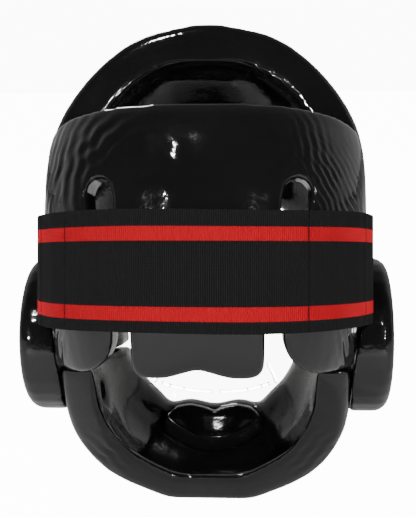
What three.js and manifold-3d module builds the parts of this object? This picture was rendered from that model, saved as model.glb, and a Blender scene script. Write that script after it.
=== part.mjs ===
// Full-face foam head guard with a clear, slotted face shield and an elastic rear strap.
// Millimetres, +Z up, the face looks along -Y and the wearer's left is +X.
// Heights are measured from the bottom of the chin, depths forward from the rearmost point of the shell,
// both while the guard is upright as on a level head. At the end it is leant forward onto its chin.
import * as THREE from "three";
import { mergeVertices } from "three/addons/utils/BufferGeometryUtils.js";
import Module from "manifold-3d";

const wasm = await Module();
wasm.setup();

// Shell of dipped foam
const SHELL_WIDTH = 192;
const SHELL_DEPTH = 242;
const SHELL_HEIGHT = 302;
const FOAM = 20.5;
const BACK_SQUARENESS = 2.5;
const FRONT_SQUARENESS = 2.2;
const GAP = 0.3;
const LEAN = THREE.MathUtils.degToRad(13);

// Crown opening between the rear panel and the hood's arch
const PANEL_RIM_HEIGHT = 241.5;
const PANEL_RIM_DEPTH = 34;
const NOTCH_HEIGHT = 232;
const NOTCH_DEPTH = 84;
const ARCH_TOP_DEPTH = 102;
const LIP_LENGTH = 31;
const LIP_STEP = 3.5;

// Underside: flap hems, jaw rim and throat
const HEM_HEIGHT = 98.5;
const RIM_START_DEPTH = 72;
const SEAM_HEIGHT = 97;
const THROAT_DEPTH = 149;

// Rear tail, the slots beside it and the side flaps
const TAIL_WIDTH = 68;
const TAIL_NOTCH = 5;
const TAIL_CORNER = 7;
const SLOT_TOP_HEIGHT = 201;
const SLOT_TOP_OFFSET = 50.7;
const SLOT_TOP_WIDTH = 14.5;
const SLOT_FOOT_HEIGHT = 123;
const SLOT_FOOT_WIDTH = 9;
const FLAP_CORNER = 23;

// Face opening, and the dents inside the cheeks
const FACE_WIDTH = 132;
const FACE_HEIGHT = 153.5;
const FACE_BOTTOM = 50.5;
const DENT_HEIGHT = 73;
const DENT_DEPTH = 137;
const DENT_LENGTH = 22;
const DENT_WIDTH = 10;
const DENT_SINK = 7;

// Ear cups
const EAR_DIAMETER = 95;
const EAR_SPREAD = 220;
const EAR_HEIGHT = 112.5;
const EAR_DEPTH = 125;
const EAR_EDGE = 8;
const EAR_HOLE = 22;
const EAR_DISH_DIAMETER = 52;
const EAR_DISH_SINK = 5;

// Chin pad
const CHIN_PAD_WIDTH = 72;
const CHIN_PAD_HEIGHT = 34;
const CHIN_PAD_BOTTOM = 20;
const CHIN_PAD_THICKNESS = 8;
const CHIN_PAD_REACH = 30;

// Clear face shield, its breathing slots and its four screws
const SHIELD_THICKNESS = 2.5;
const SHIELD_STANDOFF = 0.6;
const SHIELD_LAP = 13;
const BREATHING_WIDTH = 2;
const SCREW_HEAD_DIAMETER = 9;
const SCREW_HEAD_THICKNESS = 2.2;
const SCREW_SHANK_DIAMETER = 4;
const SCREW_SHANK_LENGTH = 13;

// Elastic strap and the fastening patches under its ends
const STRAP_WIDTH = 61;
const STRAP_BOTTOM = 123;
const STRAP_THICKNESS = 1.8;
const STRAP_END_DEPTH = 75;
const PATCH_THICKNESS = 1.2;
const PATCH_LENGTH = 32;
const PATCH_MARGIN = 5;

// Fineness of the faceted surfaces
const OUTER_SEGMENTS = 56;
const OUTER_ROWS = 26;
const INNER_SEGMENTS = 40;
const INNER_ROWS = 18;
const ROUND_SEGMENTS = 32;
const BAND_SEGMENTS = 42;
const EDGE_STEPS = 4;
const CURVE_STEPS = 8;
const WELD = 1e-4;

// Half a section at each height: shares of the shell's height, half width and depth
const SECTIONS = [
  { height: 0.0, side: 0.281, back: 0.463, middle: 0.653, front: 0.847 },
  { height: 0.0265, side: 0.448, back: 0.421, middle: 0.645, front: 0.901 },
  { height: 0.0563, side: 0.625, back: 0.372, middle: 0.632, front: 0.938 },
  { height: 0.0861, side: 0.729, back: 0.326, middle: 0.62, front: 0.959 },
  { height: 0.126, side: 0.818, back: 0.273, middle: 0.599, front: 0.975 },
  { height: 0.179, side: 0.891, back: 0.198, middle: 0.57, front: 0.99 },
  { height: 0.248, side: 0.917, back: 0.124, middle: 0.537, front: 0.998 },
  { height: 0.321, side: 0.932, back: 0.058, middle: 0.517, front: 1.0 },
  { height: 0.407, side: 0.969, back: 0.017, middle: 0.508, front: 1.0 },
  { height: 0.513, side: 1.0, back: 0.0, middle: 0.504, front: 0.998 },
  { height: 0.626, side: 1.0, back: 0.012, middle: 0.504, front: 0.979 },
  { height: 0.705, side: 0.995, back: 0.05, middle: 0.504, front: 0.955 },
  { height: 0.765, side: 0.969, back: 0.095, middle: 0.5, front: 0.926 },
  { height: 0.805, side: 0.923, back: 0.136, middle: 0.492, front: 0.901 },
  { height: 0.844, side: 0.854, back: 0.186, middle: 0.475, front: 0.864 },
  { height: 0.884, side: 0.76, back: 0.236, middle: 0.463, front: 0.822 },
  { height: 0.924, side: 0.641, back: 0.285, middle: 0.455, front: 0.756 },
  { height: 0.964, side: 0.474, back: 0.339, middle: 0.446, front: 0.674 },
  { height: 0.987, side: 0.302, back: 0.376, middle: 0.442, front: 0.595 },
  { height: 1.0, side: 0.083, back: 0.417, middle: 0.442, front: 0.492 },
];

// Half the face opening from the cheek up to the brow: shares of its half width and height
const CHEEK_OUTLINE = [
  { across: 0.576, up: 0.055 },
  { across: 0.758, up: 0.137 },
  { across: 0.864, up: 0.225 },
  { across: 0.924, up: 0.322 },
  { across: 0.97, up: 0.453 },
  { across: 1.0, up: 0.648 },
  { across: 0.97, up: 0.792 },
  { across: 0.879, up: 0.896 },
  { across: 0.697, up: 0.961 },
  { across: 0.424, up: 0.99 },
  { across: 0.0, up: 1.0 },
];

// Half the chin wall's top edge from its middle dip over a hump: shares as above
const CHIN_OUTLINE = [
  { across: 0.0, up: 0.0 },
  { across: 0.121, up: 0.013 },
  { across: 0.242, up: 0.029 },
  { across: 0.348, up: 0.029 },
  { across: 0.432, up: 0.013 },
  { across: 0.5, up: 0.007 },
];

// Half the shield's bottom edge up to the cheek: shares as above, of the opening with its lap
const SHIELD_BOTTOM = [
  { across: 0.0, up: 0.0 },
  { across: 0.4, up: 0.01 },
];

// Half the chin pad from the bottom up to its middle dip: shares of its half width and height
const CHIN_PAD_OUTLINE = [
  { across: 0.0, up: 0.0 },
  { across: 0.5, up: 0.06 },
  { across: 0.86, up: 0.28 },
  { across: 1.0, up: 0.56 },
  { across: 0.94, up: 0.82 },
  { across: 0.74, up: 0.97 },
  { across: 0.48, up: 1.0 },
  { across: 0.22, up: 0.94 },
  { across: 0.0, up: 0.86 },
];

// Half of the shield's breathing slots, each bent through a middle point: shares of the face opening
const BREATHING_SLOTS = [
  { fromAcross: 0.05, fromUp: 0.048, bendAcross: 0.34, bendUp: 0.045, toAcross: 0.63, toUp: 0.1 },
  { fromAcross: 0.7, fromUp: 0.105, bendAcross: 0.67, bendUp: 0.145, toAcross: 0.6, toUp: 0.195 },
];

// Shield screws: shares of the face opening's half width and height, one on each side
const SCREWS = [
  { name: "upper", across: 0.66, up: 1.035 },
  { name: "lower", across: 0.66, up: -0.01 },
];

const SIDES = [
  { name: "left", sign: 1 },
  { name: "right", sign: -1 },
];

const vinyl = new THREE.MeshStandardMaterial({ color: 0x0b0b0c, roughness: 0.18, metalness: 0 });
const padVinyl = new THREE.MeshStandardMaterial({ color: 0x08080a, roughness: 0.25, metalness: 0 });
const clear = new THREE.MeshStandardMaterial({
  color: 0xe9ecec,
  roughness: 0.08,
  metalness: 0,
  transparent: true,
  opacity: 0.35,
});
const screwPlastic = new THREE.MeshStandardMaterial({ color: 0x17181a, roughness: 0.4, metalness: 0 });
const webbing = new THREE.MeshStandardMaterial({ color: 0x1b1b1e, roughness: 0.85, metalness: 0 });
const hookTape = new THREE.MeshStandardMaterial({ color: 0x101012, roughness: 0.95, metalness: 0 });

const HALF_WIDTH = SHELL_WIDTH / 2;
const REAR_Y = SHELL_DEPTH / 2;
const FAR = SHELL_WIDTH + SHELL_DEPTH + SHELL_HEIGHT;

function yAt(depth) {
  return REAR_Y - depth;
}

// Smooth curve through the section table
const profile = new THREE.CubicInterpolant(
  SECTIONS.map((row) => row.height),
  SECTIONS.flatMap((row) => [row.side, row.back, row.middle, row.front]),
  4,
);

function sectionAt(share) {
  const [side, back, middle, front] = profile.evaluate(THREE.MathUtils.clamp(share, 0, 1));
  return {
    side: side * HALF_WIDTH,
    back: back * SHELL_DEPTH,
    middle: middle * SHELL_DEPTH,
    front: front * SHELL_DEPTH,
  };
}

function signedPower(value, power) {
  return Math.sign(value) * Math.abs(value) ** power;
}

// Point of a section at an angle from straight ahead, as { x, depth }
function sectionPoint(section, angle) {
  const ahead = Math.cos(angle);
  const squareness = ahead > 0 ? FRONT_SQUARENESS : BACK_SQUARENESS;
  const reach = ahead > 0 ? section.front - section.middle : section.middle - section.back;
  return {
    x: section.side * signedPower(Math.sin(angle), 2 / squareness),
    depth: section.middle + reach * signedPower(ahead, 2 / squareness),
  };
}

// Shares of the height for the rows of the form, closer together at the crown and the chin
function rowHeight(row, rows) {
  const even = row / rows;
  const rounded = (1 - Math.cos(Math.PI * even)) / 2;
  return (even + rounded) / 2;
}

function solidOf(geometry) {
  const bare = geometry.clone();
  bare.deleteAttribute("normal");
  bare.deleteAttribute("uv");
  const merged = mergeVertices(bare, WELD);
  return new wasm.Manifold(
    new wasm.Mesh({
      numProp: 3,
      vertProperties: new Float32Array(merged.attributes.position.array),
      triVerts: new Uint32Array(merged.index.array),
    }),
  );
}

// Outer form of the whole guard, drawn in by an inset on every side
function headForm(inset, segments, rows) {
  const form = new THREE.CylinderGeometry(1, 1, 1, segments, rows);
  const place = form.attributes.position;
  const narrower = 1 - inset / HALF_WIDTH;
  const shorter = 1 - inset / (SHELL_DEPTH / 2);
  const lower = 1 - inset / (SHELL_HEIGHT / 2);
  for (let i = 0; i < place.count; i += 1) {
    const row = Math.round((place.getY(i) + 0.5) * rows);
    const share = rowHeight(row, rows);
    const section = sectionAt(share);
    const onRing = Math.hypot(place.getX(i), place.getZ(i)) > 0.5;
    const angle = Math.atan2(place.getX(i), place.getZ(i));
    const point = onRing ? sectionPoint(section, angle) : { x: 0, depth: section.middle };
    const height = SHELL_HEIGHT * (0.5 + (share - 0.5) * lower);
    place.setXYZ(i, point.x * narrower, yAt(point.depth) * shorter, height);
  }
  return solidOf(form);
}

function shapeOf(points) {
  return new THREE.Shape(points.map(([u, v]) => new THREE.Vector2(u, v)));
}

// Prism seen from the side, through the whole width: points are [depth, height]
function sidePrism(points) {
  const outline = shapeOf(points.map(([depth, height]) => [yAt(depth), height]));
  const prism = new THREE.ExtrudeGeometry(outline, { depth: 2 * FAR, bevelEnabled: false });
  prism.translate(0, 0, -FAR);
  prism.rotateZ(Math.PI / 2);
  prism.rotateY(Math.PI / 2);
  return solidOf(prism);
}

// Prism seen from the front, between two depths: points are [x, height]
function frontPrism(points, fromDepth, toDepth) {
  const length = toDepth - fromDepth;
  const prism = new THREE.ExtrudeGeometry(shapeOf(points), { depth: length, bevelEnabled: false });
  prism.rotateX(Math.PI / 2);
  prism.translate(0, yAt(fromDepth), 0);
  return solidOf(prism);
}

// Prism seen from above, between two heights: points are [x, depth]
function planPrism(points, fromHeight, toHeight) {
  const outline = shapeOf(points.map(([x, depth]) => [x, yAt(depth)]));
  const length = toHeight - fromHeight;
  const prism = new THREE.ExtrudeGeometry(outline, { depth: length, bevelEnabled: false });
  prism.translate(0, 0, fromHeight);
  return solidOf(prism);
}

function mirrored(points) {
  return points.map(([x, height]) => [-x, height]);
}

// Closed outline from half of one, which starts and ends at x = 0
function bothHalves(half) {
  const other = half.slice(1, -1).reverse();
  return [...half, ...mirrored(other)];
}

function arcPoints(centreX, centreHeight, radius, fromAngle, toAngle, steps) {
  return Array.from({ length: steps + 1 }, (_, i) => {
    const angle = THREE.MathUtils.lerp(fromAngle, toAngle, i / steps);
    return [centreX + radius * Math.cos(angle), centreHeight + radius * Math.sin(angle)];
  });
}

// Everything behind the arch and above the rear panel's rim
function crownCut() {
  const lean = (ARCH_TOP_DEPTH - NOTCH_DEPTH) / (SHELL_HEIGHT - NOTCH_HEIGHT);
  return sidePrism([
    [-FAR, PANEL_RIM_HEIGHT],
    [PANEL_RIM_DEPTH, PANEL_RIM_HEIGHT],
    [NOTCH_DEPTH, NOTCH_HEIGHT],
    [NOTCH_DEPTH + lean * FAR, NOTCH_HEIGHT + FAR],
    [-FAR, NOTCH_HEIGHT + FAR],
  ]);
}

// Everything below the flap hems and behind the sloping rim of the jaw
function neckCut() {
  const slope = SEAM_HEIGHT / (THROAT_DEPTH - RIM_START_DEPTH);
  return sidePrism([
    [-FAR, HEM_HEIGHT],
    [RIM_START_DEPTH - HEM_HEIGHT / slope / CURVE_STEPS, HEM_HEIGHT],
    [RIM_START_DEPTH, SEAM_HEIGHT],
    [THROAT_DEPTH, 0],
    [THROAT_DEPTH + FAR / slope, -FAR],
    [-FAR, -FAR],
  ]);
}

// Flat under the chin that the guard stands on once it is leant forward
function chinCut() {
  const rise = Math.tan(LEAN);
  return sidePrism([
    [THROAT_DEPTH - FAR, -FAR * rise],
    [THROAT_DEPTH + FAR, FAR * rise],
    [THROAT_DEPTH + FAR, -FAR],
    [THROAT_DEPTH - FAR, -FAR],
  ]);
}

// Slot beside the tail with the tail's corner and the flap's corner: the +X half of the rear cut
function tailCut(sign) {
  const tail = TAIL_WIDTH / 2;
  const inner = SLOT_TOP_OFFSET - SLOT_TOP_WIDTH / 2;
  const outer = SLOT_TOP_OFFSET + SLOT_TOP_WIDTH / 2;
  const flap = tail + SLOT_FOOT_WIDTH;
  const flapCorner = flap + FLAP_CORNER;
  const topCentre = SLOT_TOP_HEIGHT - SLOT_TOP_WIDTH / 2;
  const low = HEM_HEIGHT - TAIL_WIDTH;
  const half = [
    [0, low],
    [0, HEM_HEIGHT + TAIL_NOTCH],
    [tail / 2, HEM_HEIGHT],
    ...arcPoints(tail - TAIL_CORNER, HEM_HEIGHT + TAIL_CORNER, TAIL_CORNER, -Math.PI / 2, 0, EDGE_STEPS),
    [tail, SLOT_FOOT_HEIGHT],
    [inner, topCentre],
    ...arcPoints(SLOT_TOP_OFFSET, topCentre, SLOT_TOP_WIDTH / 2, Math.PI, 0, 2 * EDGE_STEPS).slice(1, -1),
    [outer, topCentre],
    [flap, SLOT_FOOT_HEIGHT],
    ...arcPoints(flapCorner, HEM_HEIGHT + FLAP_CORNER, FLAP_CORNER, Math.PI, 1.5 * Math.PI, 2 * EDGE_STEPS),
    [flapCorner, low],
  ];
  const points = half.map(([x, height]) => [sign * x, height]);
  return frontPrism(points, -FAR, SHELL_DEPTH / 4);
}

function facePoints(outline, lap) {
  const across = FACE_WIDTH / 2 + lap;
  const up = FACE_HEIGHT + 2 * lap;
  return outline.map((row) => [row.across * across, FACE_BOTTOM - lap + row.up * up]);
}

function faceCut() {
  const half = [...facePoints(CHIN_OUTLINE, 0), ...facePoints(CHEEK_OUTLINE, 0)];
  return frontPrism(bothHalves(half), SHELL_DEPTH / 2, FAR);
}

function earHole(sign) {
  const bore = new THREE.CylinderGeometry(EAR_HOLE / 2, EAR_HOLE / 2, HALF_WIDTH, ROUND_SEGMENTS / 2);
  bore.rotateZ(Math.PI / 2);
  bore.translate(sign * HALF_WIDTH, yAt(EAR_DEPTH), EAR_HEIGHT);
  return solidOf(bore);
}

// Oval dent in the inner face of a cheek
function cheekDent(sign) {
  const dent = new THREE.SphereGeometry(1, ROUND_SEGMENTS / 2, ROUND_SEGMENTS / 4);
  const wall = sectionAt(DENT_HEIGHT / SHELL_HEIGHT).side - FOAM;
  dent.scale(DENT_SINK, DENT_WIDTH / 2, DENT_LENGTH / 2);
  dent.translate(sign * wall, yAt(DENT_DEPTH), DENT_HEIGHT);
  return solidOf(dent);
}

// Depth of the outer form's front at x and a height, and the outward direction there
function frontAt(x, height) {
  const section = sectionAt(height / SHELL_HEIGHT);
  const inward = 1 - Math.abs(x / section.side) ** FRONT_SQUARENESS;
  const reach = section.front - section.middle;
  return section.middle + reach * Math.max(inward, 0) ** (1 / FRONT_SQUARENESS);
}

function frontNormal(x, height) {
  const step = 1;
  const acrossSlope = (frontAt(x + step, height) - frontAt(x - step, height)) / (2 * step);
  const upSlope = (frontAt(x, height + step) - frontAt(x, height - step)) / (2 * step);
  return new THREE.Vector3(-acrossSlope, -1, -upSlope).normalize();
}

// Round piece along the outward direction at x and a height, from one distance off the form to another
function stud(x, height, diameter, from, to) {
  const cylinder = new THREE.CylinderGeometry(diameter / 2, diameter / 2, to - from, ROUND_SEGMENTS / 2);
  const normal = frontNormal(x, height);
  cylinder.translate(0, (from + to) / 2, 0);
  cylinder.applyQuaternion(new THREE.Quaternion().setFromUnitVectors(new THREE.Vector3(0, 1, 0), normal));
  cylinder.translate(x, yAt(frontAt(x, height)), height);
  return solidOf(cylinder);
}

function screwPlaces() {
  return SCREWS.flatMap((screw) =>
    SIDES.map((side) => {
      const name = `shield_screw_${screw.name}_${side.name}`;
      const x = (side.sign * screw.across * FACE_WIDTH) / 2;
      return { name, x, height: FACE_BOTTOM + screw.up * FACE_HEIGHT };
    }),
  );
}

// Bent slot with round ends
function bentSlot(row, sign) {
  const at = (across, up) =>
    new THREE.Vector2((sign * across * FACE_WIDTH) / 2, FACE_BOTTOM + up * FACE_HEIGHT);
  const curve = new THREE.QuadraticBezierCurve(
    at(row.fromAcross, row.fromUp),
    at(row.bendAcross, row.bendUp),
    at(row.toAcross, row.toUp),
  );
  const radius = BREATHING_WIDTH / 2;
  const edge = (share, side) => {
    const tangent = curve.getTangent(share);
    const point = curve.getPoint(share);
    return [point.x - side * tangent.y * radius, point.y + side * tangent.x * radius];
  };
  const steps = Array.from({ length: CURVE_STEPS + 1 }, (_, i) => i / CURVE_STEPS);
  const roundEnd = (share, turn) => {
    const tangent = curve.getTangent(share);
    const point = curve.getPoint(share);
    const heading = Math.atan2(tangent.y, tangent.x) + turn;
    const start = heading + Math.PI / 2;
    const arc = arcPoints(point.x, point.y, radius, start, start - Math.PI, EDGE_STEPS);
    return arc.slice(1, -1);
  };
  const outline = [
    ...steps.map((share) => edge(share, 1)),
    ...roundEnd(1, 0),
    ...steps.reverse().map((share) => edge(share, -1)),
    ...roundEnd(0, Math.PI),
  ];
  return frontPrism(outline, SHELL_DEPTH / 2, FAR);
}

const outerForm = headForm(0, OUTER_SEGMENTS, OUTER_ROWS);
const innerForm = headForm(FOAM, INNER_SEGMENTS, INNER_ROWS);
const aroundForm = headForm(-GAP, OUTER_SEGMENTS, OUTER_ROWS);

// Deeper hollow inside the hood, ahead of the lip along its arch
function hoodHollow() {
  const deeper = headForm(FOAM - LIP_STEP, INNER_SEGMENTS, INNER_ROWS);
  const lip = NOTCH_DEPTH + LIP_LENGTH;
  const lean = (ARCH_TOP_DEPTH - NOTCH_DEPTH) / (SHELL_HEIGHT - NOTCH_HEIGHT);
  return deeper.intersect(
    sidePrism([
      [lip, NOTCH_HEIGHT],
      [FAR, NOTCH_HEIGHT],
      [FAR, NOTCH_HEIGHT + FAR],
      [lip + lean * FAR, NOTCH_HEIGHT + FAR],
    ]),
  );
}

const shell = outerForm
  .subtract(innerForm)
  .subtract(crownCut())
  .subtract(neckCut())
  .subtract(chinCut())
  .subtract(tailCut(1))
  .subtract(tailCut(-1))
  .subtract(faceCut())
  .subtract(earHole(1))
  .subtract(earHole(-1));

function sideBox(fromDepth, toDepth, fromHeight, toHeight) {
  return sidePrism([
    [fromDepth, fromHeight],
    [toDepth, fromHeight],
    [toDepth, toHeight],
    [fromDepth, toHeight],
  ]);
}

function screwBores(diameter) {
  return screwPlaces().map((place) =>
    stud(place.x, place.height, diameter, -SCREW_SHANK_LENGTH - GAP, SCREW_SHANK_LENGTH),
  );
}

function withoutAll(solid, cutters) {
  return cutters.reduce((rest, cutter) => rest.subtract(cutter), solid);
}

const bores = screwBores(SCREW_SHANK_DIAMETER + 2 * GAP);

function rearPanel() {
  return shell.intersect(sideBox(-FAR, NOTCH_DEPTH, SEAM_HEIGHT + GAP, FAR));
}

function frontHood() {
  const hood = shell.intersect(sideBox(NOTCH_DEPTH + GAP, FAR, SEAM_HEIGHT + GAP, FAR));
  return withoutAll(hood.subtract(hoodHollow()), bores);
}

function jawGuard() {
  const jaw = shell.intersect(sideBox(-FAR, FAR, -FAR, SEAM_HEIGHT));
  return withoutAll(jaw.subtract(cheekDent(1)).subtract(cheekDent(-1)), bores);
}

// Foam ring over the ear, dished around its hole
function earCup(sign) {
  const rim = EAR_DIAMETER / 2;
  const dish = EAR_DISH_DIAMETER / 2;
  const bore = EAR_HOLE / 2;
  const face = EAR_SPREAD / 2;
  const edge = arcPoints(rim - EAR_EDGE, face - EAR_EDGE, EAR_EDGE, 0, Math.PI / 2, EDGE_STEPS);
  const turned = [
    [bore, HALF_WIDTH - FOAM],
    [rim, HALF_WIDTH - FOAM],
    ...edge,
    [dish, face],
    [(bore + dish) / 2, face - EAR_DISH_SINK / 2],
    [bore, face - EAR_DISH_SINK],
    [bore, HALF_WIDTH - FOAM],
  ];
  const ring = new THREE.LatheGeometry(
    turned.map(([radius, out]) => new THREE.Vector2(radius, out)),
    ROUND_SEGMENTS,
  );
  ring.rotateZ((-sign * Math.PI) / 2);
  ring.translate(0, yAt(EAR_DEPTH), EAR_HEIGHT);
  return solidOf(ring).subtract(aroundForm);
}

// Two-lobed pad against the inside of the chin wall
function chinPad() {
  const half = CHIN_PAD_OUTLINE.map((row) => [
    (row.across * CHIN_PAD_WIDTH) / 2,
    CHIN_PAD_BOTTOM + row.up * CHIN_PAD_HEIGHT,
  ]);
  const against = headForm(FOAM + GAP, INNER_SEGMENTS, INNER_ROWS);
  const front = headForm(FOAM + GAP + CHIN_PAD_THICKNESS, INNER_SEGMENTS, INNER_ROWS);
  const pad = against.intersect(frontPrism(bothHalves(half), SHELL_DEPTH / 2, FAR));
  const rearEdge = SHELL_DEPTH - FOAM - CHIN_PAD_REACH;
  return pad.subtract(front).intersect(sideBox(rearEdge, FAR, -FAR, FAR));
}

function faceShield() {
  const outer = headForm(-SHIELD_STANDOFF - SHIELD_THICKNESS, OUTER_SEGMENTS, OUTER_ROWS);
  const inner = headForm(-SHIELD_STANDOFF, OUTER_SEGMENTS, OUTER_ROWS);
  const outline = bothHalves(facePoints([...SHIELD_BOTTOM, ...CHEEK_OUTLINE], SHIELD_LAP));
  const sheet = outer.subtract(inner).intersect(frontPrism(outline, SHELL_DEPTH / 2, FAR));
  const slots = BREATHING_SLOTS.flatMap((row) => SIDES.map((side) => bentSlot(row, side.sign)));
  return withoutAll(withoutAll(sheet, slots), bores);
}

function shieldScrew(place) {
  const seat = SHIELD_STANDOFF + SHIELD_THICKNESS + 2 * GAP;
  const head = stud(place.x, place.height, SCREW_HEAD_DIAMETER, seat, seat + SCREW_HEAD_THICKNESS);
  const shank = stud(place.x, place.height, SCREW_SHANK_DIAMETER, -SCREW_SHANK_LENGTH, seat + GAP);
  return head.add(shank);
}

// Plan of the shell where it is widest, grown sideways and to the rear, between both ends at a depth
function bandLine(sideGrowth, rearGrowth, endDepth) {
  const widest = sectionAt((STRAP_BOTTOM + STRAP_WIDTH / 2) / SHELL_HEIGHT);
  const section = { ...widest, side: HALF_WIDTH + sideGrowth, back: -rearGrowth };
  const reach = Math.max((section.middle - endDepth) / (section.middle - section.back), 0);
  const start = Math.PI - Math.acos(reach ** (BACK_SQUARENESS / 2));
  return Array.from({ length: BAND_SEGMENTS + 1 }, (_, i) => {
    const angle = THREE.MathUtils.lerp(start, 2 * Math.PI - start, i / BAND_SEGMENTS);
    const point = sectionPoint(section, angle);
    return [point.x, point.depth];
  });
}

function strapInner() {
  return bandLine(PATCH_THICKNESS + 2 * GAP, GAP, STRAP_END_DEPTH);
}

function strapOuter() {
  const side = PATCH_THICKNESS + 2 * GAP + STRAP_THICKNESS;
  return bandLine(side, GAP + STRAP_THICKNESS, STRAP_END_DEPTH);
}

function strap() {
  const top = STRAP_BOTTOM + STRAP_WIDTH;
  return planPrism([...strapOuter(), ...strapInner().reverse()], STRAP_BOTTOM, top);
}

// Fastening patch between the shell and one end of the strap
function strapPatch(sign) {
  const line = bandLine(PATCH_THICKNESS + GAP, 0, SHELL_DEPTH);
  const pad = planPrism(line, STRAP_BOTTOM + PATCH_MARGIN, STRAP_BOTTOM + STRAP_WIDTH - PATCH_MARGIN);
  const rear = STRAP_END_DEPTH - PATCH_LENGTH;
  const zone = planPrism(
    [
      [0, rear],
      [sign * FAR, rear],
      [sign * FAR, STRAP_END_DEPTH],
      [0, STRAP_END_DEPTH],
    ],
    0,
    SHELL_HEIGHT,
  );
  return pad.intersect(zone).subtract(aroundForm);
}

function meshOf(name, solid, material) {
  const made = solid.getMesh();
  const geometry = new THREE.BufferGeometry();
  geometry.setAttribute("position", new THREE.BufferAttribute(made.vertProperties, 3));
  geometry.setIndex(new THREE.BufferAttribute(made.triVerts, 1));
  geometry.computeVertexNormals();
  const mesh = new THREE.Mesh(geometry, material);
  mesh.name = name;
  return mesh;
}

const upright = new THREE.Group();
upright.add(
  meshOf("front_hood", frontHood(), vinyl),
  meshOf("rear_panel", rearPanel(), vinyl),
  meshOf("jaw_guard", jawGuard(), vinyl),
  meshOf("chin_pad", chinPad(), padVinyl),
  meshOf("face_shield", faceShield(), clear),
  meshOf("strap", strap(), webbing),
);
for (const side of SIDES) {
  upright.add(meshOf(`ear_cup_${side.name}`, earCup(side.sign), vinyl));
  upright.add(meshOf(`strap_patch_${side.name}`, strapPatch(side.sign), hookTape));
}
for (const place of screwPlaces()) {
  upright.add(meshOf(place.name, shieldScrew(place), screwPlastic));
}

// Leant forward until the flat under the chin is level, then stood on the origin
upright.rotation.x = LEAN;
const headGuard = new THREE.Group();
headGuard.add(upright);
const bounds = new THREE.Box3().setFromObject(headGuard, true);
const middle = bounds.getCenter(new THREE.Vector3());
headGuard.position.set(-middle.x, -middle.y, -bounds.min.z);

export default headGuard;
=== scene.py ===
# %% [markdown]
# # A foam head guard, seen from behind
# This lesson dresses a full-face sparring head guard: soft foam pieces dipped in glossy black vinyl, a clear
# face shield with breathing slots, and an elastic strap with two red stripes across the back. The solids of
# the guard are loaded first as a fixed frame, and each piece made here stays where its solid is.

import math
import bpy
import numpy as np
from mathutils import Matrix, Vector


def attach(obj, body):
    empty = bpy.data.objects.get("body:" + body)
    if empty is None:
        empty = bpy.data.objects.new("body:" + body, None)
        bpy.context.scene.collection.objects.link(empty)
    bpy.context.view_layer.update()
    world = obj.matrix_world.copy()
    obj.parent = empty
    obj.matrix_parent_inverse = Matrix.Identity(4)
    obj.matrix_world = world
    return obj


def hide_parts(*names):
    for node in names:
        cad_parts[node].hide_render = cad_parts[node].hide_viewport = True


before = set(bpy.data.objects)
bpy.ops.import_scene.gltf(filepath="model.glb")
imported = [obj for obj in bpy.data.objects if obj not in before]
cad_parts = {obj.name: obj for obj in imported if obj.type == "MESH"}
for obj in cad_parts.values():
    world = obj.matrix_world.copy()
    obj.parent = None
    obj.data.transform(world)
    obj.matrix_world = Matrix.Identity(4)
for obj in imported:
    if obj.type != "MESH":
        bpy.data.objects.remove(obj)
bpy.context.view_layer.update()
print("frame:", sorted(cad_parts))

# %% [markdown]
# ## Upright coordinates
# The guard stands on the flat under its chin and leans forward. Its shape is easier to describe as it is
# worn, on a level head, so one matrix turns the frame upright: heights then start at the chin, and the rear
# of the shell lies square to the Y axis. The strap's lower edge and rear face fix where upright zero is.

# %% Upright coordinates
MM = 0.001
LEAN = math.radians(13)
STRAP_BOTTOM = 123 * MM
STRAP_REAR = 123.1 * MM

level = Matrix.Rotation(-LEAN, 4, "X")
strap_points = [level @ vertex.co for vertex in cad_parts["strap"].data.vertices]
shift_back = max(point.y for point in strap_points) - STRAP_REAR
shift_up = min(point.z for point in strap_points) - STRAP_BOTTOM
TO_UPRIGHT = Matrix.Translation((0, -shift_back, -shift_up)) @ level
FROM_UPRIGHT = TO_UPRIGHT.inverted()
print("upright zero lies at", [round(value, 4) for value in FROM_UPRIGHT.translation])

# %% [markdown]
# ## Camera
# The guard is seen squarely from behind and a little from its right, from close by, with the lens level with
# the middle of the strap on the worn guard. Because the guard leans forward here, the same view looks down
# at it slightly, from above the floor.

# %% Camera
CAMERA_RIGHT = -28 * MM
CAMERA_BACK = 554 * MM
CAMERA_HEIGHT = 161 * MM
CAMERA_TURN = math.radians(2.89)
CAMERA_DIP = math.radians(0.16)
FRAME_HEIGHT_PX = 517
FOCAL_PX = 888
SENSOR_MM = 36

camera_data = bpy.data.cameras.new("rear_camera")
camera_data.sensor_width = SENSOR_MM
camera_data.lens = FOCAL_PX / FRAME_HEIGHT_PX * SENSOR_MM
camera = bpy.data.objects.new("rear_camera", camera_data)
bpy.context.scene.collection.objects.link(camera)
heading = Vector(
    (
        math.sin(CAMERA_TURN) * math.cos(CAMERA_DIP),
        -math.cos(CAMERA_TURN) * math.cos(CAMERA_DIP),
        -math.sin(CAMERA_DIP),
    )
)
upright_view = Matrix.Translation((CAMERA_RIGHT, CAMERA_BACK, CAMERA_HEIGHT))
upright_view @= heading.to_track_quat("-Z", "Y").to_matrix().to_4x4()
camera.matrix_world = FROM_UPRIGHT @ upright_view
bpy.context.scene.camera = camera
print("camera at", [round(value, 3) for value in camera.matrix_world.translation])

# %% [markdown]
# ## Nodes in few words
# Every finish below is a small tree of nodes. These helpers make one node each and link what goes into it,
# so that a finish reads as a list of steps: a measure, a range, a mix, and the input of the surface that it
# feeds. A number is set on the socket, and anything else is linked.


# %% Node helpers
def new_material(name):
    material = bpy.data.materials.new(name)
    material.use_nodes = True
    return material, material.node_tree, material.node_tree.nodes["Principled BSDF"]


def add_node(tree, kind, **settings):
    node = tree.nodes.new(kind)
    for key, value in settings.items():
        setattr(node, key, value)
    return node


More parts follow.
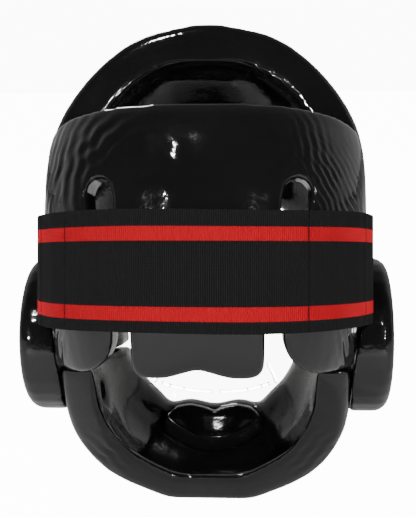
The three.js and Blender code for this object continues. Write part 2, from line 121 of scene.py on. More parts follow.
def feed(tree, socket, value):
    if isinstance(value, (int, float, tuple)):
        socket.default_value = value
    else:
        tree.links.new(value, socket)


def add_math(tree, operation, *values):
    node = add_node(tree, "ShaderNodeMath", operation=operation)
    for socket, value in zip(node.inputs, values):
        feed(tree, socket, value)
    return node.outputs[0]


def add_range(tree, value, start, end, low=0.0, high=1.0, interpolation="LINEAR"):
    node = add_node(tree, "ShaderNodeMapRange", interpolation_type=interpolation)
    node.inputs["From Min"].default_value = start
    node.inputs["From Max"].default_value = end
    node.inputs["To Min"].default_value = low
    node.inputs["To Max"].default_value = high
    tree.links.new(value, node.inputs["Value"])
    return node.outputs["Result"]


def add_mix(tree, factor, first, second):
    node = add_node(tree, "ShaderNodeMix", data_type="RGBA")
    tree.links.new(factor, node.inputs["Factor"])
    feed(tree, node.inputs["A"], first)
    feed(tree, node.inputs["B"], second)
    return node.outputs["Result"]


def add_noise(tree, vector, scale, detail, roughness=0.5):
    node = add_node(tree, "ShaderNodeTexNoise")
    tree.links.new(vector, node.inputs["Vector"])
    feed(tree, node.inputs["Scale"], scale)
    node.inputs["Detail"].default_value = detail
    node.inputs["Roughness"].default_value = roughness
    return node.outputs["Fac"]


def add_bump(tree, height, distance, strength=1.0, below=None):
    node = add_node(tree, "ShaderNodeBump")
    node.inputs["Strength"].default_value = strength
    node.inputs["Distance"].default_value = distance
    tree.links.new(height, node.inputs["Height"])
    if below is not None:
        tree.links.new(below, node.inputs["Normal"])
    return node.outputs["Normal"]


def split_vector(tree, vector):
    node = add_node(tree, "ShaderNodeSeparateXYZ")
    tree.links.new(vector, node.inputs[0])
    return node.outputs


def object_place(tree):
    return add_node(tree, "ShaderNodeTexCoord").outputs["Object"]


# One for rays that reach the lens with no bounce, straight or through clear plastic
def straight_rays(tree):
    under_one = 0.5
    rays = add_node(tree, "ShaderNodeLightPath")
    unglossed = add_math(tree, "LESS_THAN", rays.outputs["Glossy Depth"], under_one)
    undiffused = add_math(tree, "LESS_THAN", rays.outputs["Diffuse Depth"], under_one)
    unbounced = add_math(tree, "MULTIPLY", unglossed, undiffused)
    through = add_math(tree, "MULTIPLY", rays.outputs["Is Transmission Ray"], unbounced)
    return add_math(tree, "MAXIMUM", rays.outputs["Is Camera Ray"], through)


print("node helpers are ready")

# %% [markdown]
# ## Room
# Gloss shows the room more than the piece, so the room is planned first: a pale floor, a paler side of the
# room in front of the face, a dark one behind the lens, and a few small lamps that leave bright specks on
# the bulges. To the lens, and through the clear shield, floor and background are plain white.

# %% Floor
FLOOR_HALF = 6.0
FLOOR_PALE = (0.78, 0.78, 0.775, 1)
FLOOR_ROUGHNESS = 0.7
FLOOR_GLOW = 13.5
WHITE = (1, 1, 1, 1)

bpy.ops.object.select_all(action="DESELECT")
bpy.ops.mesh.primitive_plane_add(size=2 * FLOOR_HALF, location=(0, 0, 0))
floor = bpy.context.active_object
floor.name = "pale_floor"
floor_finish, floor_tree, floor_shader = new_material("pale_floor_finish")
floor_shader.inputs["Base Color"].default_value = FLOOR_PALE
floor_shader.inputs["Roughness"].default_value = FLOOR_ROUGHNESS
floor_shader.inputs["Emission Color"].default_value = WHITE
floor_glow = add_math(floor_tree, "MULTIPLY", straight_rays(floor_tree), FLOOR_GLOW)
floor_tree.links.new(floor_glow, floor_shader.inputs["Emission Strength"])
floor.data.materials.append(floor_finish)
print("floor:", floor.name)

# %% World
ROOM_DARK = 0.07
ROOM_BRIGHT = 0.55
BACKDROP_START = 0.1
BACKDROP_FULL = -0.45
CEILING_START = 0.35
CEILING_FULL = 0.95
CEILING_SHARE = 0.3
SEEN_WHITE = 14.0

world = bpy.data.worlds.new("studio_room")
bpy.context.scene.world = world
world.use_nodes = True
room = world.node_tree
room.nodes.clear()
toward = split_vector(room, add_node(room, "ShaderNodeTexCoord").outputs["Generated"])
backdrop = add_range(
    room, toward["Y"], BACKDROP_START, BACKDROP_FULL, ROOM_DARK, ROOM_BRIGHT, interpolation="SMOOTHSTEP"
)
ceiling = add_range(
    room, toward["Z"], CEILING_START, CEILING_FULL, 1.0, CEILING_SHARE, interpolation="SMOOTHSTEP"
)
surroundings = add_node(room, "ShaderNodeBackground")
room.links.new(add_math(room, "MULTIPLY", backdrop, ceiling), surroundings.inputs["Strength"])
seen = add_node(room, "ShaderNodeBackground")
seen.inputs["Strength"].default_value = SEEN_WHITE
pick = add_node(room, "ShaderNodeMixShader")
room.links.new(straight_rays(room), pick.inputs["Fac"])
room.links.new(surroundings.outputs[0], pick.inputs[1])
room.links.new(seen.outputs[0], pick.inputs[2])
world_output = add_node(room, "ShaderNodeOutputWorld")
room.links.new(pick.outputs[0], world_output.inputs["Surface"])
print("world:", world.name)

# %% Lamps
LAMPS = [
    {"name": "lamp_high_left", "at": (0.55, 1.25, 1.15), "size": 0.06, "watts": 10.0},
    {"name": "lamp_high_right", "at": (-0.6, 1.3, 1.0), "size": 0.06, "watts": 10.0},
    {"name": "lamp_low_left", "at": (0.75, 1.2, 0.35), "size": 0.05, "watts": 6.0},
    {"name": "lamp_low_right", "at": (-0.8, 1.1, 0.4), "size": 0.05, "watts": 6.0},
    {"name": "lamp_top", "at": (0.25, 0.35, 1.5), "size": 0.1, "watts": 6.0},
    {"name": "lamp_face", "at": (0.5, -1.5, 1.2), "size": 0.3, "watts": 9.0},
]
AIM = Vector((0, 0, 0.15))

for row in LAMPS:
    lamp_data = bpy.data.lights.new(row["name"], "AREA")
    lamp_data.shape = "DISK"
    lamp_data.size = row["size"]
    lamp_data.energy = row["watts"]
    lamp = bpy.data.objects.new(row["name"], lamp_data)
    lamp.location = row["at"]
    lamp.rotation_euler = (AIM - lamp.location).to_track_quat("-Z", "Y").to_euler()
    bpy.context.scene.collection.objects.link(lamp)
print("lamps:", len(LAMPS))

# %% [markdown]
# ## Dipped vinyl
# Dipped vinyl is a thick paint: it pulls into faint ripples where it ran, and into tiny pits like orange
# peel, and handling wears its gloss unevenly. The effect is one node group with named inputs. It gives a
# height that the material turns into bump, and a wear mask that moves its gloss and its black.

# %% Dipped skin group
FLOAT = "NodeSocketFloat"
VECTOR = "NodeSocketVector"
RIPPLE_DETAIL = 2.0
PEEL_DETAIL = 1.0
WEAR_SCALE = 22.0
WEAR_DETAIL = 4.0
WEAR_ROUGHNESS = 0.6


def new_group(name, inputs, outputs):
    group = bpy.data.node_groups.new(name, "ShaderNodeTree")
    for label, kind, value in inputs:
        socket = group.interface.new_socket(label, in_out="INPUT", socket_type=kind)
        socket.default_value = value
    for label, kind in outputs:
        group.interface.new_socket(label, in_out="OUTPUT", socket_type=kind)
    source = add_node(group, "NodeGroupInput")
    target = add_node(group, "NodeGroupOutput")
    return group, source.outputs, target.inputs


dipped_skin, skin_in, skin_out = new_group(
    "dipped_skin",
    [
        ("Place", VECTOR, (0, 0, 0)),
        ("Ripple", FLOAT, 60.0),
        ("Peel", FLOAT, 420.0),
        ("Peel Share", FLOAT, 0.12),
    ],
    [("Height", FLOAT), ("Wear", FLOAT)],
)
ripple = add_noise(dipped_skin, skin_in["Place"], skin_in["Ripple"], RIPPLE_DETAIL)
peel = add_noise(dipped_skin, skin_in["Place"], skin_in["Peel"], PEEL_DETAIL)
peel_part = add_math(dipped_skin, "MULTIPLY", peel, skin_in["Peel Share"])
wear = add_noise(dipped_skin, skin_in["Place"], WEAR_SCALE, WEAR_DETAIL, WEAR_ROUGHNESS)
dipped_skin.links.new(add_math(dipped_skin, "ADD", ripple, peel_part), skin_out["Height"])
dipped_skin.links.new(wear, skin_out["Wear"])
print("group:", dipped_skin.name)

# %% Vinyl finishes
VINYL_IOR = 1.52
WEAR_LOW = 0.35
WEAR_HIGH = 0.65
WORN_BLACK = 2.0
COOL_BLUE = 1.05


def vinyl_material(name, black, gloss_low, gloss_high, ripple, bump):
    material, tree, shader = new_material(name)
    skin = add_node(tree, "ShaderNodeGroup", node_tree=dipped_skin)
    tree.links.new(object_place(tree), skin.inputs["Place"])
    skin.inputs["Ripple"].default_value = ripple
    tree.links.new(add_bump(tree, skin.outputs["Height"], bump), shader.inputs["Normal"])
    gloss = add_range(tree, skin.outputs["Wear"], WEAR_LOW, WEAR_HIGH, gloss_low, gloss_high)
    tree.links.new(gloss, shader.inputs["Roughness"])
    fresh = (black, black, black * COOL_BLUE, 1)
    worn = (black * WORN_BLACK, black * WORN_BLACK, black * WORN_BLACK * COOL_BLUE, 1)
    tree.links.new(add_mix(tree, skin.outputs["Wear"], fresh, worn), shader.inputs["Base Color"])
    shader.inputs["IOR"].default_value = VINYL_IOR
    print("finish:", name)
    return material


glossy_vinyl = vinyl_material(
    "glossy_dipped_vinyl", black=0.004, gloss_low=0.06, gloss_high=0.12, ripple=45.0, bump=0.6 * MM
)
pad_vinyl = vinyl_material(
    "chin_pad_vinyl", black=0.003, gloss_low=0.12, gloss_high=0.2, ripple=60.0, bump=0.5 * MM
)

# %% [markdown]
# ## Soft pieces
# The real guard is cut from thick foam, bonded and then dipped, so nothing on it has a sharp edge. Each
# soft solid is copied, its triangles are merged, and a voxel remesh gives it an even skin that many rounds
# of smoothing then soften, as the vinyl does. Carving each edge by hand would cost far more for less.

# %% Helpers for pieces
MERGE_DISTANCE = 0.01 * MM
SOFTEN_FACTOR = 0.5


def activate(piece):
    bpy.ops.object.select_all(action="DESELECT")
    bpy.context.view_layer.objects.active = piece
    piece.select_set(True)


def soft_copy(node, name, voxel, rounds):
    piece = bpy.data.objects.new(name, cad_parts[node].data.copy())
    bpy.context.scene.collection.objects.link(piece)
    piece.data.materials.clear()
    activate(piece)
    bpy.ops.object.mode_set(mode="EDIT")
    bpy.ops.mesh.select_all(action="SELECT")
    bpy.ops.mesh.remove_doubles(threshold=MERGE_DISTANCE)
    bpy.ops.object.mode_set(mode="OBJECT")
    remesh = piece.modifiers.new("even_skin", "REMESH")
    remesh.mode = "VOXEL"
    remesh.voxel_size = voxel
    remesh.use_smooth_shade = True
    bpy.ops.object.modifier_apply(modifier=remesh.name)
    soften = piece.modifiers.new("soften", "SMOOTH")
    soften.factor = SOFTEN_FACTOR
    soften.iterations = rounds
    bpy.ops.object.modifier_apply(modifier=soften.name)
    bpy.ops.object.shade_smooth()
    print(name, "has", len(piece.data.polygons), "faces")
    return piece


def finish_piece(piece, node, finish):
    piece.data.materials.append(finish)
    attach(piece, "root")
    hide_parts(node)


def read_vectors(piece, field):
    values = np.zeros(len(piece.data.vertices) * 3)
    piece.data.vertices.foreach_get(field, values)
    return values.reshape(-1, 3)


def write_points(piece, points):
    piece.data.vertices.foreach_set("co", points.ravel())
    piece.data.update()


def turned(directions, matrix):
    return directions @ np.array(matrix.to_3x3()).T


def moved(points, matrix):
    return turned(points, matrix) + np.array(matrix.translation)


print("piece helpers are ready")


# %% [markdown]
# ## Folds
# Where the foam bends round the head, its skin gathers into small parallel folds. A patch of them is a
# wave across the run of the folds, bowed and wavering along it, that fades out toward the patch's edge and
# lifts the skin along its normal where it faces the rear. Full cloth simulation suits loose cloth, and this
# skin is bonded to its foam, so the lift is enough.

# %% Folds
# Upright millimetres: where the patch lies, the angle that its folds run at, their spacing and height, the
# reach along and across them, how much they bow, and a seed that shifts them
PANEL_FOLDS = [
    {"x": -66, "z": 198, "run": 62, "gap": 3.4, "deep": 0.75, "long": 16, "wide": 15, "bow": 0.006, "seed": 1},
    {"x": -58, "z": 217, "run": 82, "gap": 4.6, "deep": 0.6, "long": 17, "wide": 10, "bow": 0.008, "seed": 2},
    {"x": -80, "z": 190, "run": 52, "gap": 3.6, "deep": 0.7, "long": 12, "wide": 9, "bow": 0.0, "seed": 3},
    {"x": 82, "z": 206, "run": 104, "gap": 4.2, "deep": 0.75, "long": 22, "wide": 9, "bow": 0.0, "seed": 4},
    {"x": 68, "z": 210, "run": 96, "gap": 7, "deep": 0.8, "long": 24, "wide": 13, "bow": -0.004, "seed": 5},
    {"x": 50, "z": 222, "run": 140, "gap": 8.5, "deep": 0.8, "long": 15, "wide": 12, "bow": 0.0, "seed": 6},
    {"x": -42, "z": 205, "run": 118, "gap": 9.0, "deep": 0.7, "long": 15, "wide": 13, "bow": 0.0, "seed": 9},
    {"x": 8, "z": 203, "run": 90, "gap": 26.0, "deep": 1.0, "long": 26, "wide": 10, "bow": 0.0, "seed": 10},
    {"x": -80, "z": 112, "run": 80, "gap": 4.0, "deep": 0.7, "long": 10, "wide": 6, "bow": 0.0, "seed": 7},
    {"x": 80, "z": 112, "run": 100, "gap": 4.0, "deep": 0.7, "long": 10, "wide": 6, "bow": 0.0, "seed": 8},
]
JAW_FOLDS = [
    {"x": 62, "z": 40, "run": 55, "gap": 6.5, "deep": 0.8, "long": 14, "wide": 16, "bow": 0.0, "seed": 11},
    {"x": -62, "z": 40, "run": 125, "gap": 6.5, "deep": 0.8, "long": 14, "wide": 16, "bow": 0.0, "seed": 12},
    {"x": 0, "z": 16, "run": 96, "gap": 8.0, "deep": 0.6, "long": 9, "wide": 28, "bow": 0.0, "seed": 13},
]
SLOW_WAVER = 0.35
SLOW_RATE = 0.21
QUICK_WAVER = 0.25
QUICK_RATE = 0.47
QUICK_SEED = 2.3
WAVER_SHARE = 0.3
SEED_SHIFT = 0.37
FACING_GAIN = 2.5


def fold_height(upright_mm, row):
    run = math.radians(row["run"])
    across = upright_mm[:, 0] - row["x"]
    up = upright_mm[:, 2] - row["z"]
    along = across * math.cos(run) + up * math.sin(run)
    aside = -across * math.sin(run) + up * math.cos(run)
    slow = SLOW_WAVER * np.sin(along * SLOW_RATE + row["seed"])
    quick = QUICK_WAVER * np.sin(along * QUICK_RATE + QUICK_SEED * row["seed"])
    bowed = (aside + row["bow"] * along**2) / row["gap"]
    phase = bowed + WAVER_SHARE * (slow + quick) + row["seed"] * SEED_SHIFT
    fade = np.exp(-((along / row["long"]) ** 2) - (aside / row["wide"]) ** 2)
    return row["deep"] * np.sin(math.pi * phase) ** 2 * fade


def press_folds(piece, rows):
    points = read_vectors(piece, "co")
    normals = read_vectors(piece, "normal")
    upright_mm = moved(points, TO_UPRIGHT) / MM
    facing = turned(normals, TO_UPRIGHT)[:, 1]
    lift = sum(fold_height(upright_mm, row) for row in rows)
    lift = lift * np.clip(facing * FACING_GAIN, 0, 1)
    write_points(piece, points + normals * (lift * MM)[:, None])
    print(piece.name, "has", len(rows), "patches of folds, up to", round(lift.max(), 2), "mm high")


print("patches of folds:", len(PANEL_FOLDS), "on the panel and", len(JAW_FOLDS), "on the jaw")


# %% [markdown]
# ## Rear panel
# The shell is three pads that meet at seams, and the panel covers the back of the head, with a tail, a slot on
# each side of it and two side flaps. It is the most folded of them. It is a soft copy whose voxel is small
# enough for the slots.

rear_panel = soft_copy("rear_panel", "rear_panel_skin", voxel=1.5 * MM, rounds=26)
press_folds(rear_panel, PANEL_FOLDS)
finish_piece(rear_panel, "rear_panel", glossy_vinyl)

# %% [markdown]
# ## Front hood
# The hood runs over the crown as an arch and covers the brow, the temples and the cheeks. It is all broad
# curves, so a coarse voxel is enough, and many rounds of smoothing suit it.

# %% Front hood
front_hood = soft_copy("front_hood", "front_hood_skin", voxel=2.2 * MM, rounds=40)
finish_piece(front_hood, "front_hood", glossy_vinyl)

# %% [markdown]
# ## Jaw guard
# The jaw is a bowl of foam, with the flat under the chin that the guard stands on. It takes the most rounds
# of smoothing, for its thick round rim, and it is puckered where its inner corners turn.

# %% Jaw guard
jaw_guard = soft_copy("jaw_guard", "jaw_guard_skin", voxel=1.8 * MM, rounds=80)
press_folds(jaw_guard, JAW_FOLDS)
finish_piece(jaw_guard, "jaw_guard", glossy_vinyl)

# %% [markdown]
# ## Ear cups
# The cups are foam rings with a dish and a hole through to the ear. They face sideways, so from behind only
# their rounded rims show, and they have no folds.

for side in ("left", "right"):
    ear_cup = soft_copy(f"ear_cup_{side}", f"ear_cup_{side}_skin", voxel=1.3 * MM, rounds=8)
    finish_piece(ear_cup, f"ear_cup_{side}", glossy_vinyl)

# %% [markdown]
# ## Chin pad
# The pad inside the chin has two lobes and a duller skin than the shell. It is small, so its voxel is fine.

chin_pad = soft_copy("chin_pad", "chin_pad_skin", voxel=0.9 * MM, rounds=12)
finish_piece(chin_pad, "chin_pad", pad_vinyl)

# %% [markdown]
# ## Face shield
# The shield is one moulded sheet of clear plastic. Its solid already has the right outline, slots and screw
# holes, so it is remeshed finely and softened just enough to lose its facets. Clear plastic looks dark where
# it is seen edge on, so a painted shade darkens its colour by the angle that it is seen at.

# %% Face shield
CLEAR_IOR = 1.49
CLEAR_ROUGHNESS = 0.03
CLEAR_TINT = (0.965, 0.96, 0.95, 1)
PAINTED_EDGE_SHADE = (0.22, 0.22, 0.22, 1)
EDGE_BLEND = 0.35
EDGE_START = 0.35
EDGE_FULL = 0.85

clear_plastic, clear_tree, clear_shader = new_material("clear_moulded_plastic")
grazing = add_node(clear_tree, "ShaderNodeLayerWeight")
grazing.inputs["Blend"].default_value = EDGE_BLEND
# Painted shade: the shield's colour turns dark grey where it is seen edge on
edge_shade_share = add_range(clear_tree, grazing.outputs["Facing"], EDGE_START, EDGE_FULL)
tint_and_edge_shade = add_mix(clear_tree, edge_shade_share, CLEAR_TINT, PAINTED_EDGE_SHADE)
clear_tree.links.new(tint_and_edge_shade, clear_shader.inputs["Base Color"])
clear_shader.inputs["Roughness"].default_value = CLEAR_ROUGHNESS
clear_shader.inputs["IOR"].default_value = CLEAR_IOR
clear_shader.inputs["Transmission Weight"].default_value = 1.0

face_shield = soft_copy("face_shield", "face_shield_sheet", voxel=0.93 * MM, rounds=4)
finish_piece(face_shield, "face_shield", clear_plastic)

# %% [markdown]
# ## Shield screws
# Four plastic screws hold the shield on the foam. Each is a shank with a low round head and a driving slot.
# The head is a bevelled cylinder, and the slot is cut into it before the shank joins it and both are turned
# to where the solid is. A lathed profile would do as well, but the slot would still have to be cut.

# %% Screw finish
SCREW_BLACK = (0.015, 0.015, 0.016, 1)
SCREW_GRAIN = 900.0
SCREW_GRAIN_DETAIL = 3.0

screw_finish, screw_tree, screw_shader = new_material("screw_plastic_finish")
screw_grain = add_noise(screw_tree, object_place(screw_tree), SCREW_GRAIN, SCREW_GRAIN_DETAIL)
screw_gloss = add_range(screw_tree, screw_grain, 0.0, 1.0, low=0.28, high=0.5)
screw_tree.links.new(screw_gloss, screw_shader.inputs["Roughness"])
screw_shader.inputs["Base Color"].default_value = SCREW_BLACK
print("finish:", screw_finish.name)

# %% Screws
HEAD_RADIUS = 4.4 * MM
HEAD_HEIGHT = 2.0 * MM
HEAD_SIDES = 48
HEAD_ROUND = 0.6 * MM
HEAD_ROUND_STEPS = 4
SHANK_RADIUS = 1.9 * MM
SHANK_LENGTH = 14.5 * MM
SHANK_SIDES = 32
DRIVE_LENGTH = 1.4 * HEAD_RADIUS
DRIVE_WIDTH = 1.1 * MM
DRIVE_DEPTH = 1.0 * MM
SCREW_SMOOTH = math.radians(35)


# Outer end and outward direction of a screw's solid, which is longest along its shank
def screw_axis(node):
    points = np.array([vertex.co[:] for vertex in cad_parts[node].data.vertices])
    centre = points.mean(axis=0)
    axis = np.linalg.svd(points - centre)[2][0]
    along = (points - centre) @ axis
    aside = np.linalg.norm(points - centre - along[:, None] * axis, axis=1)
    if along[aside.argmax()] < 0:
        axis = -axis
        along = -along
    return Vector(centre + axis * along.max()), Vector(axis)


def screw_head(name):
    bpy.ops.object.select_all(action="DESELECT")
    bpy.ops.mesh.primitive_cylinder_add(
        vertices=HEAD_SIDES, radius=HEAD_RADIUS, depth=HEAD_HEIGHT, location=(0, 0, -HEAD_HEIGHT / 2)
    )
    head = bpy.context.active_object
    head.name = name
    bpy.ops.object.transform_apply(location=True, rotation=True, scale=True)
    rounded = head.modifiers.new("round_edge", "BEVEL")
    rounded.width = HEAD_ROUND
    rounded.segments = HEAD_ROUND_STEPS
    bpy.ops.object.modifier_apply(modifier=rounded.name)
    bpy.ops.mesh.primitive_cube_add(size=1, location=(0, 0, 0))
    cutter = bpy.context.active_object
    cutter.scale = (DRIVE_LENGTH, DRIVE_WIDTH, 2 * DRIVE_DEPTH)
    bpy.ops.object.transform_apply(location=True, rotation=True, scale=True)
    activate(head)
    drive = head.modifiers.new("drive", "BOOLEAN")
    drive.operation = "DIFFERENCE"
    drive.object = cutter
    bpy.ops.object.modifier_apply(modifier=drive.name)
    bpy.data.objects.remove(cutter)
    return head


def make_screw(node):
    outer, axis = screw_axis(node)
    screw = screw_head(f"{node}_turned")
    bpy.ops.mesh.primitive_cylinder_add(
        vertices=SHANK_SIDES,
        radius=SHANK_RADIUS,
        depth=SHANK_LENGTH,
        location=(0, 0, -HEAD_HEIGHT - SHANK_LENGTH / 2),
    )
    shank = bpy.context.active_object
    activate(screw)
    shank.select_set(True)
    bpy.ops.object.join()
    turn = axis.to_track_quat("Z", "Y").to_matrix().to_4x4()
    screw.data.transform(Matrix.Translation(outer) @ turn)
    screw.matrix_world = Matrix.Identity(4)
    bpy.ops.object.shade_smooth_by_angle(angle=SCREW_SMOOTH)
    finish_piece(screw, node, screw_finish)
    print(screw.name, "has", len(screw.data.polygons), "faces")


for height in ("upper", "lower"):
    for side in ("left", "right"):
        make_screw(f"shield_screw_{height}_{side}")

# %% [markdown]
# ## Webbing
# The strap is woven elastic: fine ribs stand across its length, the two red stripes are dyed yarns and not
# paint, and its ends are folded back and stitched. Ribs and rows are one group that reads the cloth's own
# length and height, so they follow it round the head.

# %% Woven ribs group
TURN = 2 * math.pi
ROW_SHARE = 0.35
HALF = 0.5

woven_ribs, ribs_in, ribs_out = new_group(
    "woven_ribs",
    [
        ("Along", FLOAT, 0.0),
        ("Up", FLOAT, 0.0),
        ("Rib Pitch", FLOAT, 1.1 * MM),
        ("Row Pitch", FLOAT, 0.7 * MM),
    ],
    [("Height", FLOAT), ("Shade", FLOAT)],
)
rib_count = add_math(woven_ribs, "DIVIDE", ribs_in["Along"], ribs_in["Rib Pitch"])
row_count = add_math(woven_ribs, "DIVIDE", ribs_in["Up"], ribs_in["Row Pitch"])
rib_wave = add_math(woven_ribs, "SINE", add_math(woven_ribs, "MULTIPLY", rib_count, TURN))
row_wave = add_math(woven_ribs, "SINE", add_math(woven_ribs, "MULTIPLY", row_count, TURN))
crossing = add_math(woven_ribs, "MULTIPLY", row_wave, ROW_SHARE)
woven_ribs.links.new(add_math(woven_ribs, "ADD", rib_wave, crossing), ribs_out["Height"])
# Shade is painted light: lighter on the rib crests and darker in the troughs between them
woven_ribs.links.new(add_math(woven_ribs, "MULTIPLY_ADD", rib_wave, HALF, HALF), ribs_out["Shade"])
print("group:", woven_ribs.name)

# %% Webbing colours and stitches
STRAP_HEIGHT = 61 * MM
BLACK_YARN = (0.003, 0.003, 0.0033, 1)
# Painted highlight: the lighter black that the rib crests get
RIB_CREST_HIGHLIGHT = (0.009, 0.009, 0.0095, 1)
RED_YARN = (0.42, 0.002, 0.009, 1)
# Painted light: the red turns brighter toward each end of the strap, as if lit from the sides of the room
RED_LIT_END = (0.75, 0.006, 0.018, 1)
END_LIGHT_START = 75 * MM
END_LIGHT_FULL = 110 * MM
STITCH_BLACK = (0.003, 0.003, 0.003, 1)
NO_STRIPE = (0, 0, 0, 1)
STRIPE_EDGES = [0.096, 0.213, 0.744, 0.862]
STITCH_ROWS = [108 * MM, 74.5 * MM, -57.5 * MM, -111 * MM]
STITCH_PITCH = 2.6 * MM
STITCH_OUTER = 0.7 * MM
STITCH_INNER = 0.3 * MM
STITCH_SHARE = 0.75
RIB_BUMP = 0.2 * MM
RIB_STRENGTH = 0.8
THREAD_BUMP = 0.6 * MM
WEBBING_ROUGHNESS = 0.8
WEBBING_SPECULAR = 0.15


# One in the red stripes and zero beside them, by height on the cloth
def stripe_share(tree, up):
    ramp = add_node(tree, "ShaderNodeValToRGB")
    ramp.color_ramp.interpolation = "CONSTANT"
    ramp.color_ramp.elements[0].color = NO_STRIPE
    ramp.color_ramp.elements[1].position = STRIPE_EDGES[0]
    ramp.color_ramp.elements[1].color = WHITE
    for index, edge in enumerate(STRIPE_EDGES[1:]):
        element = ramp.color_ramp.elements.new(edge)
        element.color = NO_STRIPE if index % 2 == 0 else WHITE
    tree.links.new(add_math(tree, "DIVIDE", up, STRAP_HEIGHT), ramp.inputs["Fac"])
    return ramp.outputs["Color"]


# One in the narrow line of each row of stitches
def stitch_share(tree, along):
    stitched = None
    for row_at in STITCH_ROWS:
        off_row = add_math(tree, "ABSOLUTE", add_math(tree, "SUBTRACT", along, row_at))
        mark = add_range(tree, off_row, STITCH_OUTER, STITCH_INNER)
        stitched = mark if stitched is None else add_math(tree, "MAXIMUM", stitched, mark)
    return stitched


print("stripe edges at", STRIPE_EDGES, "of the strap's height, and", len(STITCH_ROWS), "rows of stitches")


# %% Webbing finish
webbing_finish, webbing_tree, webbing_shader = new_material("striped_webbing")
cloth = split_vector(webbing_tree, add_node(webbing_tree, "ShaderNodeUVMap", uv_map="cloth").outputs["UV"])
ribs = add_node(webbing_tree, "ShaderNodeGroup", node_tree=woven_ribs)
webbing_tree.links.new(cloth["X"], ribs.inputs["Along"])
webbing_tree.links.new(cloth["Y"], ribs.inputs["Up"])
# Painted light: brighter red toward the strap's ends, where the sides of the room light it
end_light_share = add_range(webbing_tree, add_math(webbing_tree, "ABSOLUTE", cloth["X"]), END_LIGHT_START, END_LIGHT_FULL)
red = add_mix(webbing_tree, end_light_share, RED_YARN, RED_LIT_END)
# Painted shade and highlight: the black is darker in the rib troughs and lighter on the crests
black = add_mix(webbing_tree, ribs.outputs["Shade"], BLACK_YARN, RIB_CREST_HIGHLIGHT)
dyed = add_mix(webbing_tree, stripe_share(webbing_tree, cloth["Y"]), black, red)
stitched = stitch_share(webbing_tree, cloth["X"])
darkened = add_math(webbing_tree, "MULTIPLY", stitched, STITCH_SHARE)
sewn = add_mix(webbing_tree, darkened, dyed, STITCH_BLACK)
stitch_turns = add_math(webbing_tree, "MULTIPLY", cloth["Y"], math.pi / STITCH_PITCH)
bead = add_math(webbing_tree, "ABSOLUTE", add_math(webbing_tree, "SINE", stitch_turns))
thread = add_math(webbing_tree, "MULTIPLY", stitched, bead)
rib_normal = add_bump(webbing_tree, ribs.outputs["Height"], RIB_BUMP, strength=RIB_STRENGTH)
thread_normal = add_bump(webbing_tree, thread, THREAD_BUMP, below=rib_normal)
webbing_tree.links.new(sewn, webbing_shader.inputs["Base Color"])
webbing_tree.links.new(thread_normal, webbing_shader.inputs["Normal"])
webbing_shader.inputs["Roughness"].default_value = WEBBING_ROUGHNESS
webbing_shader.inputs["Specular IOR Level"].default_value = WEBBING_SPECULAR
print("finish:", webbing_finish.name)

# %% [markdown]
# ## Strap
# The strap lies stretched round the back of the shell, from one fastening patch to the other. It is made as
# a flat grid that is laid along the rear of its solid, given its thickness, and thickened where the ends are
# folded back. The stretch holds it flat, so only a small waver is pressed into its edges, and its corners are
# drawn in a little.

# %% Strap line
LINE_STEPS = 400
LINE_REACH = 0.06
LINE_ROUNDS = 30
EDGE_TOLERANCE = 0.5 * MM


# Middle line of the strap's solid seen from above, evened out, and the length up to each of its points
def strap_line():
    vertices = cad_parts["strap"].data.vertices
    points = np.array([(TO_UPRIGHT @ vertex.co)[:] for vertex in vertices])
    low = points[np.abs(points[:, 2] - STRAP_BOTTOM) < EDGE_TOLERANCE]
    angle = np.arctan2(low[:, 0], low[:, 1])
    order = np.argsort(angle)
    low, angle = low[order], angle[order]
    radius = np.hypot(low[:, 0], low[:, 1])
    steps = np.linspace(angle[0], angle[-1], LINE_STEPS)
    near = np.array([radius[np.abs(angle - step) < LINE_REACH].mean() for step in steps])
    line = np.stack([near * np.sin(steps), near * np.cos(steps)], axis=1)
    for _ in range(LINE_ROUNDS):
        line[1:-1] = (line[:-2] + 2 * line[1:-1] + line[2:]) / 4
    lengths = np.linalg.norm(np.diff(line, axis=0), axis=1)
    return line, np.concatenate([[0], np.cumsum(lengths)])


strap_path, path_length = strap_line()
STRAP_LENGTH = path_length[-1]
print("strap is", round(STRAP_LENGTH / MM), "mm long")

# %% Strap
STRAP_COLUMNS = 220
STRAP_ROWS = 24
STRAP_THICK = 1.5 * MM
FOLD_LENGTH = 26 * MM
FOLD_EXTRA = 0.5 * MM
CORNER_LENGTH = 4 * MM
CORNER_PINCH = 0.02
EDGE_WAVER = 0.35 * MM
EDGE_RATE = 46
HEM_ROUND = 0.3 * MM
HEM_STEPS = 2
STRAP_SMOOTH = math.radians(50)

bpy.ops.object.select_all(action="DESELECT")
bpy.ops.mesh.primitive_grid_add(
    x_subdivisions=STRAP_COLUMNS, y_subdivisions=STRAP_ROWS, size=2, location=(0, 0, 0)
)
strap = bpy.context.active_object
strap.name = "rear_strap"
flat = read_vectors(strap, "co")
along = (flat[:, 0] + 1) / 2 * STRAP_LENGTH
up = (flat[:, 1] + 1) / 2 * STRAP_HEIGHT
from_end = np.minimum(along, STRAP_LENGTH - along)
corner = np.clip((CORNER_LENGTH - from_end) / CORNER_LENGTH, 0, 1)
from_middle = (up - STRAP_HEIGHT / 2) / (STRAP_HEIGHT / 2)
waver = EDGE_WAVER * np.sin(along * EDGE_RATE) * from_middle**2
pinched = STRAP_HEIGHT / 2 * (1 + from_middle * (1 - CORNER_PINCH * corner**2))
across = np.interp(along, path_length, strap_path[:, 0])
behind = np.interp(along, path_length, strap_path[:, 1])
placed = np.stack([across, behind, STRAP_BOTTOM + pinched + waver], axis=1)

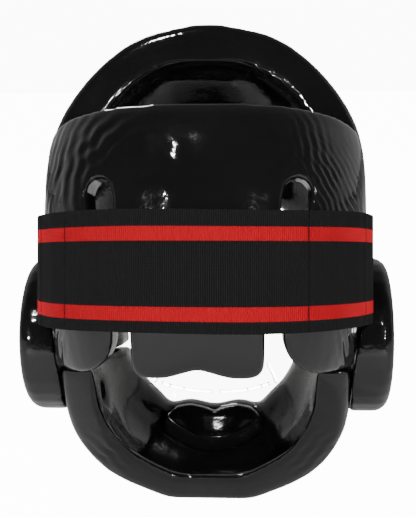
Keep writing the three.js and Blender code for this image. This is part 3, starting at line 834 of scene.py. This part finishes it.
cloth_layer = strap.data.uv_layers.new(name="cloth")
loop_vertex = np.zeros(len(strap.data.loops), dtype=int)
strap.data.loops.foreach_get("vertex_index", loop_vertex)
cloth_place = np.stack([along - STRAP_LENGTH / 2, up], axis=1)[loop_vertex]
cloth_layer.data.foreach_set("uv", cloth_place.ravel())
strap.data.uv_layers.active = cloth_layer
write_points(strap, moved(placed, FROM_UPRIGHT))
middle_face = strap.data.polygons[len(strap.data.polygons) // 2]
if middle_face.normal.y < 0:
    strap.data.flip_normals()

folded = strap.vertex_groups.new(name="folded_ends")
single = STRAP_THICK / (STRAP_THICK + FOLD_EXTRA)
for index, distance in enumerate(from_end):
    folded.add([index], 1.0 if distance < FOLD_LENGTH else single, "REPLACE")
activate(strap)
thick = strap.modifiers.new("thickness", "SOLIDIFY")
thick.thickness = STRAP_THICK + FOLD_EXTRA
thick.offset = 0
thick.vertex_group = folded.name
bpy.ops.object.modifier_apply(modifier=thick.name)
hem = strap.modifiers.new("soft_edge", "BEVEL")
hem.width = HEM_ROUND
hem.segments = HEM_STEPS
bpy.ops.object.modifier_apply(modifier=hem.name)
bpy.ops.object.shade_smooth_by_angle(angle=STRAP_SMOOTH)
finish_piece(strap, "strap", webbing_finish)
print(strap.name, "has", len(strap.data.polygons), "faces")

# %% [markdown]
# ## Hook tape
# A patch of hook tape on each side of the shell holds an end of the strap. Hardly any of it shows, so it is
# a soft copy of its solid, and its rough field of hooks is bump. The strap rests on the patches and on the
# panel.

# %% Hook tape
TAPE_BLACK = (0.012, 0.012, 0.013, 1)
TAPE_ROUGHNESS = 0.9
HOOK_SCALE = 900.0
HOOK_BUMP = 0.3 * MM

tape_finish, tape_tree, tape_shader = new_material("hook_tape_finish")
hooks = add_node(tape_tree, "ShaderNodeTexVoronoi")
hooks.inputs["Scale"].default_value = HOOK_SCALE
tape_tree.links.new(object_place(tape_tree), hooks.inputs["Vector"])
tape_tree.links.new(add_bump(tape_tree, hooks.outputs["Distance"], HOOK_BUMP), tape_shader.inputs["Normal"])
tape_shader.inputs["Base Color"].default_value = TAPE_BLACK
tape_shader.inputs["Roughness"].default_value = TAPE_ROUGHNESS

for side in ("left", "right"):
    patch = soft_copy(f"strap_patch_{side}", f"strap_patch_{side}_tape", voxel=0.5 * MM, rounds=3)
    finish_piece(patch, f"strap_patch_{side}", tape_finish)
